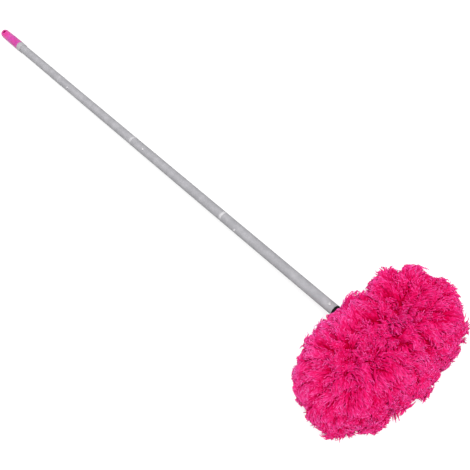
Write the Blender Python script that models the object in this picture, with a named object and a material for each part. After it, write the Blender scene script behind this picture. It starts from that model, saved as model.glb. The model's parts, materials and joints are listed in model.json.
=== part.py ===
"""Ceiling fan duster: a snap-together pole and an oval yarn head bent round a slot for the fan blade.

The pole is modelled along X, with x = 0 at its lower end, where the head plugs in. The head lies in the
XY plane beyond it, its long side across the pole. The whole duster then leans so that it lies on the floor,
on the flat underside of the yarn and on the rim of the hang cap.
"""

import math
import random

import bmesh
import bpy
from mathutils import Vector

# Gaps, in metres like every length here
touch_gap = 0.0003
cutter_overrun = 0.0040

# Edges sharper than this stay crisp in the shading
crisp_angle = math.radians(35.0)

# Pole
tube_diameter = 0.0220
tube_wall = 0.0010
upper_tube_length = 0.2310
middle_tube_length = 0.3460
lower_tube_length = 0.3370
spigot_length = 0.0700
neck_length = 0.0020
spigot_nose_length = 0.0015
spigot_nose_taper = 0.0005
bead_rise = 0.0003
bead_length = 0.0025
bead_round = 0.0006
tube_depth_in_cap = 0.0600
tube_sides = 28

# Hang cap and the collar in front of it
cap_length = 0.1030
cap_diameter = 0.0252
cap_tip_diameter = 0.0238
cap_taper_length = 0.0450
cap_dome_length = 0.0120
cap_edge_round = 0.0008
cap_dome_steps = 5
hang_hole_diameter = 0.0080
hang_hole_from_tip = 0.0167
hang_recess_diameter = 0.0130
hang_recess_depth = 0.0013
hang_hole_turn = math.radians(0.0)
collar_length = 0.0200
collar_swell_length = 0.0055
collar_diameter = 0.0257
collar_lip = 0.0007
collar_edge_round = 0.0004

# Snap buttons and their strip springs
button_diameter = 0.0060
button_flange_diameter = 0.0080
button_flange_thickness = 0.0008
button_proud = 0.0015
button_dome_height = 0.0012
button_hole_clearance = 0.0004
button_from_seam = 0.0500
head_button_from_end = 0.0120
button_sides = 16
button_turns = (math.radians(28.0), math.radians(12.0), math.radians(49.0), math.radians(-3.0))
strip_width = 0.0070
strip_thickness = 0.0006
strip_pad_reach = 0.0060
strip_length = 0.0320
strip_fold_radius = 0.0025
strip_fold_steps = 6

# Ferrule
ferrule_spigot_length = 0.0460
ferrule_wall = 0.0015
ferrule_web = 0.0030
ferrule_collar_diameter = 0.0224
ferrule_collar_length = 0.0040
ferrule_body_diameter = 0.0212
ferrule_length = 0.0260
ferrule_edge_round = 0.0006
pin_diameter = 0.0016
pin_from_end = 0.0120
pin_recess = 0.0004

# Wire loop, in the plane of the head
wire_diameter = 0.0038
leg_spacing = 0.0130
flare_radius = 0.0240
head_centre = 0.1175
loop_half_width = 0.0550
loop_half_straight = 0.0620
wire_sides = 8
arc_step = math.radians(15.0)

# Backing sleeve and its tie
sleeve_diameter = 0.0110
sleeve_sides = 8
tie_width = 0.0040
tie_thickness = 0.0012
tie_from_ferrule = 0.0050
tie_head_length = 0.0052
tie_head_height = 0.0040
tie_arc_steps = 6

# Yarn pile
head_half_length = 0.1790
head_half_width = 0.1172
head_half_height = 0.0660
tip_height_share = 0.90
slot_half_width = 0.0100
outline_power = 2.2
section_power = 0.85
rest_depth = 0.0610
sector_count = 12
rings_per_sector = 6
section_points = 28
tuft_depth_share = 0.13
tuft_variation_share = 0.35
pressed_points = 2
outline_search_steps = 24
pile_seed = 7

tube_radius = tube_diameter / 2
bore_radius = tube_radius - tube_wall
spigot_radius = bore_radius - touch_gap
spigot_bore_radius = spigot_radius - tube_wall
seams = (
    -lower_tube_length - 2 * middle_tube_length,
    -lower_tube_length - middle_tube_length,
    -lower_tube_length,
)
cap_mouth = seams[0] - upper_tube_length


def clear_scene():
    for thing in list(bpy.data.objects):
        bpy.data.objects.remove(thing, do_unlink=True)


def finish(name, colour, roughness, metallic):
    """A plain material with the piece's colour, roughness and metallic value."""
    material = bpy.data.materials.new(name)
    material.use_nodes = True
    shader = material.node_tree.nodes["Principled BSDF"]
    shader.inputs["Base Color"].default_value = (*colour, 1.0)
    shader.inputs["Roughness"].default_value = roughness
    shader.inputs["Metallic"].default_value = metallic
    return material


def add_object(name, bm, parent, material=None, smooth=True):
    """Close the bmesh into an object under its parent, with its faces turned outwards."""
    bmesh.ops.recalc_face_normals(bm, faces=bm.faces)
    mesh = bpy.data.meshes.new(name)
    bm.to_mesh(mesh)
    bm.free()
    if smooth:
        mesh.shade_smooth()
        mesh.set_sharp_from_angle(angle=crisp_angle)
    thing = bpy.data.objects.new(name, mesh)
    bpy.context.collection.objects.link(thing)
    thing.parent = parent
    if material is not None:
        mesh.materials.append(material)
    else:
        thing.hide_render = True
        thing.display_type = "WIRE"
    return thing


def cut(thing, cutter):
    modifier = thing.modifiers.new("cut_" + cutter.name, "BOOLEAN")
    modifier.operation = "DIFFERENCE"
    modifier.solver = "EXACT"
    modifier.object = cutter


def revolve(profile, sides, axis):
    """A closed solid turned from (along, radius) points; a closed ring profile gives a tube."""
    bm = bmesh.new()
    along = Vector(axis)
    out = along.orthogonal().normalized()
    points = [bm.verts.new(along * place + out * radius) for place, radius in profile]
    edges = [bm.edges.new(pair) for pair in zip(points, points[1:])]
    if all(radius > 0 for _, radius in profile):
        edges.append(bm.edges.new((points[-1], points[0])))
    bmesh.ops.spin(
        bm, geom=points + edges, cent=(0, 0, 0), axis=along, angle=math.tau, steps=sides, use_merge=True
    )
    bmesh.ops.remove_doubles(bm, verts=bm.verts, dist=touch_gap / sides)
    return bm


def rod_profile(low, high, radius):
    return [(low, 0), (low, radius), (high, radius), (high, 0)]


def drill(name, place, turn, profile, parent):
    """A cutter across the pole at x = place, turned from (height, radius) points and tipped by turn."""
    cutter = add_object(name, revolve(profile, button_sides, (0, 0, 1)), parent)
    cutter.location = (place, 0, 0)
    cutter.rotation_euler = (turn, 0, 0)
    return cutter


# Tubes

def mouth_profile():
    """Outer side of a beaded mouth, from the rim inwards along the tube."""
    return [
        (0, bore_radius + bead_round),
        (bead_round, tube_radius + bead_rise),
        (bead_length, tube_radius + bead_rise),
        (bead_length + bead_rise + bead_round, tube_radius),
    ]


def tube_profile(length, has_mouth, has_spigot):
    """Wall of one tube: the outer side towards the head, then the bore back again."""
    outer = mouth_profile() if has_mouth else [(0, tube_radius)]
    if not has_spigot:
        return outer + [(length, tube_radius), (length, bore_radius), (0, bore_radius)]
    shoulder = length - neck_length - touch_gap
    tip = length + spigot_length
    outer += [
        (shoulder, tube_radius),
        (length - touch_gap, spigot_radius),
        (tip - spigot_nose_length, spigot_radius),
        (tip, spigot_radius - spigot_nose_taper),
    ]
    inner = [
        (tip, spigot_bore_radius),
        (length - touch_gap, spigot_bore_radius),
        (shoulder, bore_radius),
        (0, bore_radius),
    ]
    return outer + inner


def make_tube(name, start, length, has_mouth, has_spigot, parent, material):
    tube = add_object(
        name, revolve(tube_profile(length, has_mouth, has_spigot), tube_sides, (1, 0, 0)), parent, material
    )
    tube.location = (start, 0, 0)
    return tube


# Cap and collar

def make_cap(parent, material):
    """The cap's own x = 0 is its mouth, and it reaches back to -cap_length."""
    radius = cap_diameter / 2
    tip_radius = cap_tip_diameter / 2
    dome_start = -cap_length + cap_dome_length
    dome = []
    for i in range(cap_dome_steps + 1):
        turn = math.pi / 2 * i / cap_dome_steps
        dome.append((dome_start - cap_dome_length * math.sin(turn), tip_radius * math.cos(turn)))
    dome[-1] = (-cap_length, 0)
    bore = tube_radius + touch_gap
    bottom = -tube_depth_in_cap - touch_gap
    profile = [
        (bottom, 0),
        (bottom, bore),
        (0, bore),
        (0, radius - cap_edge_round),
        (-cap_edge_round, radius),
        (dome_start + cap_taper_length, radius),
    ]
    cap = add_object("hang_cap", revolve(profile + dome, tube_sides, (1, 0, 0)), parent, material)
    cap.location = (cap_mouth, 0, 0)
    reach = radius + cutter_overrun
    floor = tip_radius - hang_recess_depth
    hole = [
        (-reach, 0),
        (-reach, hang_recess_diameter / 2),
        (-floor, hang_recess_diameter / 2),
        (-floor, hang_hole_diameter / 2),
        (floor, hang_hole_diameter / 2),
        (floor, hang_recess_diameter / 2),
        (reach, hang_recess_diameter / 2),
        (reach, 0),
    ]
    hole_place = cap_mouth - cap_length + hang_hole_from_tip
    cut(cap, drill("hang_hole", hole_place, hang_hole_turn, hole, parent))
    return cap


def make_collar(parent, material):
    """The collar's own x = 0 is the end that meets the cap."""
    bore = tube_radius + touch_gap
    cap_side = cap_diameter / 2
    profile = [
        (touch_gap, bore),
        (touch_gap, cap_side - collar_edge_round),
        (touch_gap + collar_edge_round, cap_side),
        (collar_swell_length, collar_diameter / 2),
        (collar_length - collar_edge_round, bore + collar_lip),
        (collar_length, bore + collar_lip - collar_edge_round),
        (collar_length, bore),
    ]
    collar = add_object("cap_collar", revolve(profile, tube_sides, (1, 0, 0)), parent, material)
    collar.location = (cap_mouth, 0, 0)
    return collar


# Snap buttons and springs

def flange_seat(bore):
    """Height of the flange's face when its rim is one gap away from the bore."""
    return math.sqrt((bore - touch_gap) ** 2 - (button_flange_diameter / 2) ** 2)


def make_button(name, place, turn, bore, parent, material):
    radius = button_diameter / 2
    seat = flange_seat(bore)
    top = tube_radius + button_proud
    shoulder = top - button_dome_height
    profile = [
        (seat - button_flange_thickness, 0),
        (seat - button_flange_thickness, button_flange_diameter / 2),
        (seat, button_flange_diameter / 2),
        (seat, radius),
        (shoulder, radius),
        (top - button_dome_height * (1 - math.sin(math.pi / 4)), radius * math.cos(math.pi / 4)),
        (top, 0),
    ]
    button = add_object(name, revolve(profile, button_sides, (0, 0, 1)), parent, material)
    button.location = (place, 0, 0)
    button.rotation_euler = (turn, 0, 0)
    return button


def strip_outline(bore):
    """Centre line of the bent strip, in its own XZ plane: pad, sloping leg, fold, long leg on the wall."""
    half = strip_thickness / 2
    pad = flange_seat(bore) - button_flange_thickness - touch_gap - half
    wall = -math.sqrt((bore - touch_gap) ** 2 - (strip_width / 2) ** 2) + half
    fold = (-strip_length, wall + strip_fold_radius)
    line = [(strip_pad_reach, pad), (-strip_pad_reach, pad)]
    for i in range(strip_fold_steps + 1):
        turn = math.pi / 2 + math.pi * i / strip_fold_steps
        line.append(
            (fold[0] + strip_fold_radius * math.cos(turn), fold[1] + strip_fold_radius * math.sin(turn))
        )
    line.append((strip_pad_reach, wall))
    return [Vector((x, 0, z)) for x, z in line]


def make_spring(name, place, turn, bore, parent, material):
    """A strip of even thickness: the centre line is offset to both sides and extruded across."""
    line = strip_outline(bore)
    count = len(line)
    offsets = []
    for i, point in enumerate(line):
        before = (point - line[max(i - 1, 0)]).normalized()
        after = (line[min(i + 1, count - 1)] - point).normalized()
        along = (before + after).normalized()
        bend = max(along.dot(after), along.dot(before))
        normal = Vector((-along.z, 0, along.x))
        offsets.append(normal * strip_thickness / 2 / bend)
    outline = [p + o for p, o in zip(line, offsets)] + [p - o for p, o in zip(line, offsets)][::-1]
    across = Vector((0, strip_width, 0))
    bm = bmesh.new()
    near = [bm.verts.new(p - across / 2) for p in outline]
    far = [bm.verts.new(p + across / 2) for p in outline]
    total = len(outline)
    for i in range(total):
        j = (i + 1) % total
        bm.faces.new((near[i], near[j], far[j], far[i]))
    for i in range(count - 1):
        for row in (near, far):
            bm.faces.new((row[i], row[i + 1], row[total - 2 - i], row[total - 1 - i]))
    spring = add_object(name, bm, parent, material, smooth=False)
    spring.location = (place, 0, 0)
    spring.rotation_euler = (turn, 0, 0)
    return spring


# Ferrule and pin

def make_ferrule(parent, material):
    bore = spigot_radius - ferrule_wall
    ring = ferrule_collar_diameter / 2
    body = ferrule_body_diameter / 2
    profile = [
        (-ferrule_web, 0),
        (-ferrule_web, bore),
        (-ferrule_spigot_length, bore),
        (-ferrule_spigot_length, spigot_radius - spigot_nose_taper),
        (-ferrule_spigot_length + spigot_nose_length, spigot_radius),
        (touch_gap, spigot_radius),
        (touch_gap, ring - ferrule_edge_round),
        (touch_gap + ferrule_edge_round, ring),
        (ferrule_collar_length, ring),
        (ferrule_collar_length + ferrule_edge_round, body),
        (ferrule_length - ferrule_edge_round, body),
        (ferrule_length, body - ferrule_edge_round),
        (ferrule_length, 0),
    ]
    ferrule = add_object("ferrule", revolve(profile, tube_sides, (1, 0, 0)), parent, material)
    for side, name in ((1, "left"), (-1, "right")):
        profile = rod_profile(
            ferrule_web, ferrule_length + cutter_overrun, wire_diameter / 2 + touch_gap
        )
        hole = revolve(profile, wire_sides * 2, (1, 0, 0))
        cutter = add_object("leg_hole_" + name, hole, parent)
        cutter.location = (0, side * leg_spacing / 2, 0)
        cut(ferrule, cutter)
    return ferrule


def pin_place():
    return ferrule_length - pin_from_end


def make_pin(parent, material):
    reach = ferrule_body_diameter / 2 - pin_recess
    radius = pin_diameter / 2
    pin = add_object(
        "leg_pin",
        revolve(rod_profile(-reach, reach, radius), button_sides, (0, 1, 0)),
        parent,
        material,
    )
    pin.location = (pin_place(), 0, 0)
    return pin


def pin_hole(parent):
    reach = ferrule_body_diameter / 2 + cutter_overrun
    radius = pin_diameter / 2 + touch_gap
    cutter = add_object(
        "pin_hole",
        revolve(rod_profile(-reach, reach, radius), button_sides, (0, 1, 0)),
        parent,
    )
    cutter.location = (pin_place(), 0, 0)
    return cutter


# Wire loop, sleeve and tie

def arc(centre, radius, start, sweep):
    """Points of an arc in the head's plane, its first and last point included."""
    steps = max(2, math.ceil(abs(sweep) / arc_step))
    return [
        (
            centre[0] + radius * math.cos(start + sweep * i / steps),
            centre[1] + radius * math.sin(start + sweep * i / steps),
        )
        for i in range(steps + 1)
    ]


def loop_path(first):
    """Centre line from x = first up one leg, round the oval and back down the other leg."""
    near = head_centre - loop_half_width
    half_leg = leg_spacing / 2
    bend = (near - flare_radius, half_leg + flare_radius)
    half = [(first, half_leg)]
    half += arc(bend, flare_radius, -math.pi / 2, math.pi / 2)
    half += arc((head_centre, loop_half_straight), loop_half_width, math.pi, -math.pi)
    other = [(x, -y) for x, y in reversed(half)]
    return [Vector((x, y, 0)) for x, y in half + other]


def frames(path):
    """For each point of an open path in the head's plane: the point and its mitred sideways normal."""
    found = []
    last = len(path) - 1
    for i, point in enumerate(path):
        before = (point - path[max(i - 1, 0)]).normalized()
        after = (path[min(i + 1, last)] - point).normalized()
        along = (before + after).normalized()
        bend = max(along.dot(after), along.dot(before))
        found.append((point, Vector((-along.y, along.x, 0)) / bend))
    return found


def ring_loop(bm, point, normal, radius, sides):
    loop = []
    for i in range(sides):
        turn = math.tau * (i + 0.5) / sides
        loop.append(
            bm.verts.new(point + normal * radius * math.cos(turn) + Vector((0, 0, radius * math.sin(turn))))
        )
    return loop


def skin(bm, loops):
    """Quads between each loop of points and the next."""
    for lower, upper in zip(loops, loops[1:]):
        count = len(lower)
        for i in range(count):
            j = (i + 1) % count
            bm.faces.new((lower[i], lower[j], upper[j], upper[i]))


def rod_along(path, radius, sides):
    bm = bmesh.new()
    loops = [ring_loop(bm, point, normal, radius, sides) for point, normal in frames(path)]
    skin(bm, loops)
    bm.faces.new(loops[0])
    bm.faces.new(loops[-1])
    return bm


def pipe_along(path, radius, bore, sides):
    bm = bmesh.new()
    outer = [ring_loop(bm, point, normal, radius, sides) for point, normal in frames(path)]
    inner = [ring_loop(bm, point, normal, bore, sides) for point, normal in frames(path)]
    skin(bm, outer)
    skin(bm, inner)
    skin(bm, [outer[0], inner[0]])
    skin(bm, [outer[-1], inner[-1]])
    return bm


def sleeve_start():
    return ferrule_length + touch_gap


def oval_section(half_spacing, reach, steps):
    """Outline round two circles of radius reach, half_spacing to each side, in the YZ plane."""
    points = []
    for side, start in ((1, -math.pi / 2), (-1, math.pi / 2)):
        for i in range(steps + 1):
            turn = start + math.pi * i / steps
            points.append((side * half_spacing + reach * math.cos(turn), reach * math.sin(turn)))
    return points


def make_tie(parent, material):
    """A flat band round the sleeve's two ends, with its lock on top."""
    start = ferrule_length + tie_from_ferrule
    inner_reach = sleeve_diameter / 2 + touch_gap
    outer_reach = inner_reach + tie_thickness
    bm = bmesh.new()
    loops = []
    for reach, place in (
        (inner_reach, start),
        (outer_reach, start),
        (outer_reach, start + tie_width),
        (inner_reach, start + tie_width),
    ):
        outline = oval_section(leg_spacing / 2, reach, tie_arc_steps)
        loops.append([bm.verts.new((place, y, z)) for y, z in outline])
    skin(bm, loops + [loops[0]])
    tie = add_object("sleeve_tie", bm, parent, material, smooth=False)
    lock = bmesh.new()
    bmesh.ops.create_cube(lock, size=1)
    bmesh.ops.scale(lock, vec=(tie_width + tie_thickness, tie_head_length, tie_head_height), verts=lock.verts)
    base = outer_reach - tie_thickness / 2 + tie_head_height / 2
    bmesh.ops.translate(lock, vec=(start + tie_width / 2, 0, base), verts=lock.verts)
    block = add_object("tie_lock_shape", lock, parent)
    join = tie.modifiers.new("lock", "BOOLEAN")
    join.operation = "UNION"
    join.solver = "EXACT"
    join.object = block
    return tie


# Yarn pile

def oval_place(share):
    """Point, outward normal and tangent on the closed oval, by its share of the way round from the pole."""
    straight = 2 * loop_half_straight
    bend = math.pi * loop_half_width
    way = share * (2 * straight + 2 * bend)
    half = straight / 2
    if way <= half:
        return Vector((head_centre - loop_half_width, way, 0)), Vector((-1, 0, 0)), Vector((0, 1, 0))
    way -= half
    if way <= bend:
        turn = math.pi - way / loop_half_width
        normal = Vector((math.cos(turn), math.sin(turn), 0))
        centre = Vector((head_centre, loop_half_straight, 0))
        return centre + normal * loop_half_width, normal, Vector((normal.y, -normal.x, 0))
    way -= bend
    if way <= straight:
        point = Vector((head_centre + loop_half_width, loop_half_straight - way, 0))
        return point, Vector((1, 0, 0)), Vector((0, -1, 0))
    way -= straight
    if way <= bend:
        turn = -way / loop_half_width
        normal = Vector((math.cos(turn), math.sin(turn), 0))
        centre = Vector((head_centre, -loop_half_straight, 0))
        return centre + normal * loop_half_width, normal, Vector((normal.y, -normal.x, 0))
    way -= bend
    return (
        Vector((head_centre - loop_half_width, way - half, 0)),
        Vector((-1, 0, 0)),
        Vector((0, 1, 0)),
    )


def outline_reach(point, normal):
    """How far the head's outline lies from a point of the oval, along its normal."""
    low, high = 0, head_half_length
    for _ in range(outline_search_steps):
        middle = (low + high) / 2
        place = point + normal * middle
        across = abs(place.x - head_centre) / head_half_width
        along = abs(place.y) / head_half_length
        if across**outline_power + along**outline_power < 1:
            low = middle
        else:
            high = middle
    return low


def floor_height(x):
    """Height of the floor below the pole's axis at x, as the leaning duster lies on it."""
    return -rest_depth + (head_centre - x) * math.tan(lean_angle())


def lean_angle():
    touch = cap_mouth - cap_length + cap_dome_length
    return math.atan((rest_depth - cap_tip_diameter / 2) / (head_centre - touch))


def section_loop(bm, ring, ring_count, shift, depths):
    """One loop of pile points across the oval; tuft tips stand out and the points between them lie deeper.

    The points next to the lowest one, which carry the head, are pressed level on the floor.
    """
    point, normal, tangent = oval_place(ring / ring_count)
    outward = outline_reach(point, normal)
    inward = loop_half_width - slot_half_width
    to_tip = min(1, max(0, (abs(point.y) - loop_half_straight) / loop_half_width))
    height = head_half_height * (1 - (1 - tip_height_share) * to_tip**2)
    lowest = 3 * section_points // 4
    loop = []
    for k in range(section_points):
        turn = math.tau * k / section_points
        across = math.copysign(abs(math.cos(turn)) ** section_power, math.cos(turn))
        up = math.copysign(abs(math.sin(turn)) ** section_power, math.sin(turn))
        depth = 1 if abs(k - lowest) <= pressed_points else depths[ring % ring_count][k]
        side = outward if across > 0 else inward
        place = point + normal * side * across * depth + Vector((0, 0, height * up * depth))
        place += tangent * shift
        place.z = max(place.z, floor_height(place.x))
        loop.append(bm.verts.new(place))
    return loop


def make_sector(index, depths, parent, material):
    """A slice of the pile between two planes across the oval, its surface raised in four-sided tufts."""
    ring_count = sector_count * rings_per_sector
    first = index * rings_per_sector
    bm = bmesh.new()
    loops = []
    for i in range(rings_per_sector + 1):
        shift = touch_gap / 2 if i == 0 else -touch_gap / 2 if i == rings_per_sector else 0
        loops.append(section_loop(bm, first + i, ring_count, shift, depths))
    for i, (lower, upper) in enumerate(zip(loops, loops[1:])):
        for k in range(section_points):
            m = (k + 1) % section_points
            if (first + i + k) % 2 == 0:
                bm.faces.new((lower[k], lower[m], upper[k]))
                bm.faces.new((lower[m], upper[m], upper[k]))
            else:
                bm.faces.new((lower[k], lower[m], upper[m]))
                bm.faces.new((lower[k], upper[m], upper[k]))
    for loop, ring, shift in (
        (loops[0], first, touch_gap / 2),
        (loops[-1], first + rings_per_sector, -touch_gap / 2),
    ):
        point, _, tangent = oval_place(ring / ring_count)
        middle = bm.verts.new(point + tangent * shift)
        for k in range(section_points):
            bm.faces.new((loop[k], loop[(k + 1) % section_points], middle))
    return add_object(f"yarn_pile_{index + 1:02d}", bm, parent, material, smooth=False)


def tuft_depths():
    """Depth shares of the pile's points: tips reach the outline, the points between them lie deeper."""
    random.seed(pile_seed)
    table = []
    for ring in range(sector_count * rings_per_sector):
        row = []
        for k in range(section_points):
            sunk = tuft_depth_share * (1 - tuft_variation_share * random.random())
            raised = tuft_depth_share * tuft_variation_share * random.random()
            row.append(1 - (raised if (ring + k) % 2 == 0 else sunk))
        table.append(row)
    return table


# Assembly

def seat_on_floor(frame, things):
    """Lean the duster onto its cap and set the origin below the middle of its box, on the floor."""
    frame.rotation_euler = (0, -lean_angle(), 0)
    bpy.context.view_layer.update()
    places = [thing.matrix_world @ vertex.co for thing in things for vertex in thing.data.vertices]
    low = [min(place[i] for place in places) for i in range(3)]
    high = [max(place[i] for place in places) for i in range(3)]
    frame.location = (-(low[0] + high[0]) / 2, -(low[1] + high[1]) / 2, -low[2])


def build():
    clear_scene()
    frame = bpy.data.objects.new("duster_frame", None)
    bpy.context.collection.objects.link(frame)

    grey_metal = finish("satin_grey_metal", (0.48, 0.48, 0.50), 0.38, 0.6)
    light_plastic = finish("light_grey_plastic", (0.56, 0.56, 0.58), 0.45, 0.0)
    pink_plastic = finish("pink_plastic", (0.80, 0.06, 0.42), 0.35, 0.0)
    black_plastic = finish("black_plastic", (0.012, 0.011, 0.013), 0.4, 0.0)
    spring_steel = finish("spring_steel", (0.55, 0.56, 0.58), 0.3, 1.0)
    button_steel = finish("button_steel", (0.72, 0.72, 0.74), 0.25, 1.0)
    wire_steel = finish("wire_steel", (0.50, 0.50, 0.52), 0.35, 1.0)
    sleeve_cloth = finish("sleeve_cloth", (0.60, 0.03, 0.22), 0.9, 0.0)
    pink_yarn = finish("pink_yarn", (0.76, 0.02, 0.17), 0.9, 0.0)

    cap = make_cap(frame, pink_plastic)
    collar = make_collar(frame, light_plastic)
    upper = make_tube(
        "tube_1",
        cap_mouth - tube_depth_in_cap,
        tube_depth_in_cap + upper_tube_length,
        False,
        True,
        frame,
        grey_metal,
    )
    tubes = [upper]
    for number, start, length, has_spigot in (
        (2, seams[0], middle_tube_length, True),
        (3, seams[1], middle_tube_length, True),
        (4, seams[2], lower_tube_length, False),
    ):
        tubes.append(make_tube(f"tube_{number}", start, length, True, has_spigot, frame, grey_metal))
    ferrule = make_ferrule(frame, black_plastic)

    hole_radius = button_diameter / 2 + button_hole_clearance
    places = [seam + button_from_seam for seam in seams] + [-head_button_from_end]
    carriers = tubes[:3] + [ferrule]
    moving = []
    for i, (place, turn) in enumerate(zip(places, button_turns)):
        bore = spigot_bore_radius if i < len(seams) else spigot_radius - ferrule_wall
        hole_profile = rod_profile(0, tube_radius + cutter_overrun, hole_radius)
        hole = drill(f"button_hole_{i + 1}", place, turn, hole_profile, frame)
        outer_tube = tubes[min(i + 1, len(tubes) - 1)]
        cut(outer_tube, hole)
        cut(carriers[i], hole)
        moving.append(make_button(f"snap_button_{i + 1}", place, turn, bore, frame, button_steel))
        make_spring(f"snap_spring_{i + 1}", place, turn, bore, frame, spring_steel)

    wire = add_object(
        "wire_loop",
        rod_along(loop_path(ferrule_web + touch_gap), wire_diameter / 2, wire_sides),
        frame,
        wire_steel,
    )
    make_pin(frame, spring_steel)
    hole = pin_hole(frame)
    cut(ferrule, hole)
    cut(wire, hole)
    sleeve_bore = wire_diameter / 2 + touch_gap
    add_object(
        "backing_sleeve",
        pipe_along(loop_path(sleeve_start()), sleeve_diameter / 2, sleeve_bore, sleeve_sides),
        frame,
        sleeve_cloth,
    )
    make_tie(frame, black_plastic)

    core = add_object(
        "sleeve_core_shape",
        rod_along(loop_path(0), sleeve_diameter / 2 + touch_gap, sleeve_sides),
        frame,
    )
    ferrule_room = ferrule_collar_diameter / 2 + touch_gap
    socket = add_object(
        "ferrule_room_shape",
        revolve(
            rod_profile(-cutter_overrun, ferrule_length + touch_gap, ferrule_room), tube_sides, (1, 0, 0)
        ),
        frame,
    )
    tie_room = bmesh.new()
    reach = sleeve_diameter / 2 + tie_thickness + tie_head_height + touch_gap
    tie_start = ferrule_length + tie_from_ferrule
    rows = [
        [tie_room.verts.new((x, y, z)) for y, z in oval_section(leg_spacing / 2, reach, tie_arc_steps)]
        for x in (ferrule_length, tie_start + tie_width + tie_thickness)
    ]
    skin(tie_room, rows)
    tie_room.faces.new(rows[0])
    tie_room.faces.new(rows[1])
    tie_space = add_object("tie_room_shape", tie_room, frame)

    depths = tuft_depths()
    piles = [make_sector(index, depths, frame, pink_yarn) for index in range(sector_count)]
    for pile in piles:
        cut(pile, core)
    for pile in (piles[0], piles[-1]):
        cut(pile, socket)
        cut(pile, tie_space)

    seat_on_floor(frame, [cap, collar] + piles)


build()
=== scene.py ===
"""A ceiling fan duster: a snap-together pole with a pink hang cap, and an oval head of shaggy pink yarn."""

import json
import math

import bmesh
import bpy
from mathutils import Matrix, Vector


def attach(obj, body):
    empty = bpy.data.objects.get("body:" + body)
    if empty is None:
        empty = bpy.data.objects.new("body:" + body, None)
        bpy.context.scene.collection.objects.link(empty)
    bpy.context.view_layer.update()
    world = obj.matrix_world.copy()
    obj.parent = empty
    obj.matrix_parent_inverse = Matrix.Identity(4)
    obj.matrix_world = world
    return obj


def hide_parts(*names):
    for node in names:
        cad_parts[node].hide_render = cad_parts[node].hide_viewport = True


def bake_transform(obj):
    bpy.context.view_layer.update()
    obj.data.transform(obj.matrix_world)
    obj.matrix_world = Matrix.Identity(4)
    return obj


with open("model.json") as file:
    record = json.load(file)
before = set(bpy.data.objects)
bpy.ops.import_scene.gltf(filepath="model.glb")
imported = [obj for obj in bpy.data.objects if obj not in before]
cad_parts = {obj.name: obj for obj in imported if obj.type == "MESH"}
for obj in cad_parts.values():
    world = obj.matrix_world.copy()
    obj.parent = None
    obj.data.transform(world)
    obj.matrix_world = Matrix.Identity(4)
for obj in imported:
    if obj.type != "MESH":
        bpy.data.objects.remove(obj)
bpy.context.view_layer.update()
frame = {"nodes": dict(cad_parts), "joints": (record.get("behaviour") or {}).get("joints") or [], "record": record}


# The pole's line
#
# The tubes share one straight axis, which leans from the head down to the cap. The face round the cap's
# hang hole lies square to it, and the last tube's end ring is centred on it.

ring_reach = 0.0001


def end_ring_middle(node, turn):
    """Middle of the ring of points that ends a tube, where turn takes the pole's own axes to the model's."""
    places = [turn.transposed() @ vertex.co for vertex in frame["nodes"][node].data.vertices]
    last = max(place.x for place in places)
    ring = [place for place in places if place.x > last - ring_reach]
    low = Vector([min(place[i] for place in ring) for i in range(3)])
    high = Vector([max(place[i] for place in ring) for i in range(3)])
    return turn @ ((low + high) / 2)


hang_face = next(mount for mount in frame["record"]["mounts"] if mount["name"] == "hang_face")
pole_up = Vector(hang_face["axis"]).normalized()
pole_along = Vector((0, 1, 0)).cross(pole_up)
pole_turn = Matrix((pole_along, (0, 1, 0), pole_up)).transposed()
pole = Matrix.Translation(end_ring_middle("tube_4", pole_turn)) @ pole_turn.to_4x4()


# Hang cap
#
# A round-ended cap, moulded in slightly clear pink plastic and pushed over the end of the pole. A dished hole
# through its tip hangs the duster on a hook.

tube_diameter = 0.0220
upper_tube_length = 0.2310
middle_tube_length = 0.3460
lower_tube_length = 0.3370
seams = [-lower_tube_length - i * middle_tube_length for i in (2, 1, 0)]
cap_mouth = seams[0] - upper_tube_length
fit_gap = 0.0003

cap_length = 0.1030
cap_diameter = 0.0252
cap_tip_diameter = 0.0238
cap_taper_length = 0.0450
cap_dome_length = 0.0120
cap_lip_round = 0.0008
cap_socket_depth = 0.0600
cap_sides = 96
cap_dome_steps = 18
hang_hole_diameter = 0.0080
hang_hole_from_tip = 0.0167
hang_hole_along = cap_mouth - cap_length + hang_hole_from_tip
hang_dish_diameter = 0.0130
hang_dish_depth = 0.0013
hang_dish_round = 0.0006
cutter_overrun = 0.0040
corner_steps = 6
crisp_angle = math.radians(35.0)
solid_tip_fade = (0.0040, -0.0060)
hang_hole_shade = (hang_hole_diameter * 0.78, hang_hole_diameter * 0.52)


class Wire:
    """An output socket of a node tree. Arithmetic on wires adds the Math or Vector Math nodes for it."""

    def __init__(self, graph, socket):
        self.graph = graph
        self.socket = socket

    def __add__(self, other):
        return self.graph.maths("ADD", self, other)

    __radd__ = __add__

    def __sub__(self, other):
        return self.graph.maths("SUBTRACT", self, other)

    def __rsub__(self, other):
        return self.graph.maths("SUBTRACT", other, self)

    def __mul__(self, other):
        if is_wide(self) == is_wide(other):
            return self.graph.maths("MULTIPLY", self, other)
        wide, number = (self, other) if is_wide(self) else (other, self)
        return self.graph.add("ShaderNodeVectorMath", {"operation": "SCALE"}, {0: wide, "Scale": number})[0]

    __rmul__ = __mul__

    def __truediv__(self, other):
        return self.graph.maths("DIVIDE", self, other)

    def __rtruediv__(self, other):
        return self.graph.maths("DIVIDE", other, self)

    def __pow__(self, other):
        return self.graph.maths("POWER", self, other)

    def __neg__(self):
        return self * -1.0

    def __abs__(self):
        return self.graph.maths("ABSOLUTE", self)

    def dot(self, other):
        return self.graph.maths("DOT_PRODUCT", self, other)

    def length(self):
        return self.graph.maths("LENGTH", self)

    def unit(self):
        return self.graph.maths("NORMALIZE", self)

    def flat_on(self, normal):
        """The part of a vector that lies square to a unit normal."""
        return self - normal * self.dot(normal)

    def parts(self):
        made = self.graph.add("ShaderNodeSeparateXYZ", inputs={0: self})
        return made[0], made[1], made[2]


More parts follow.
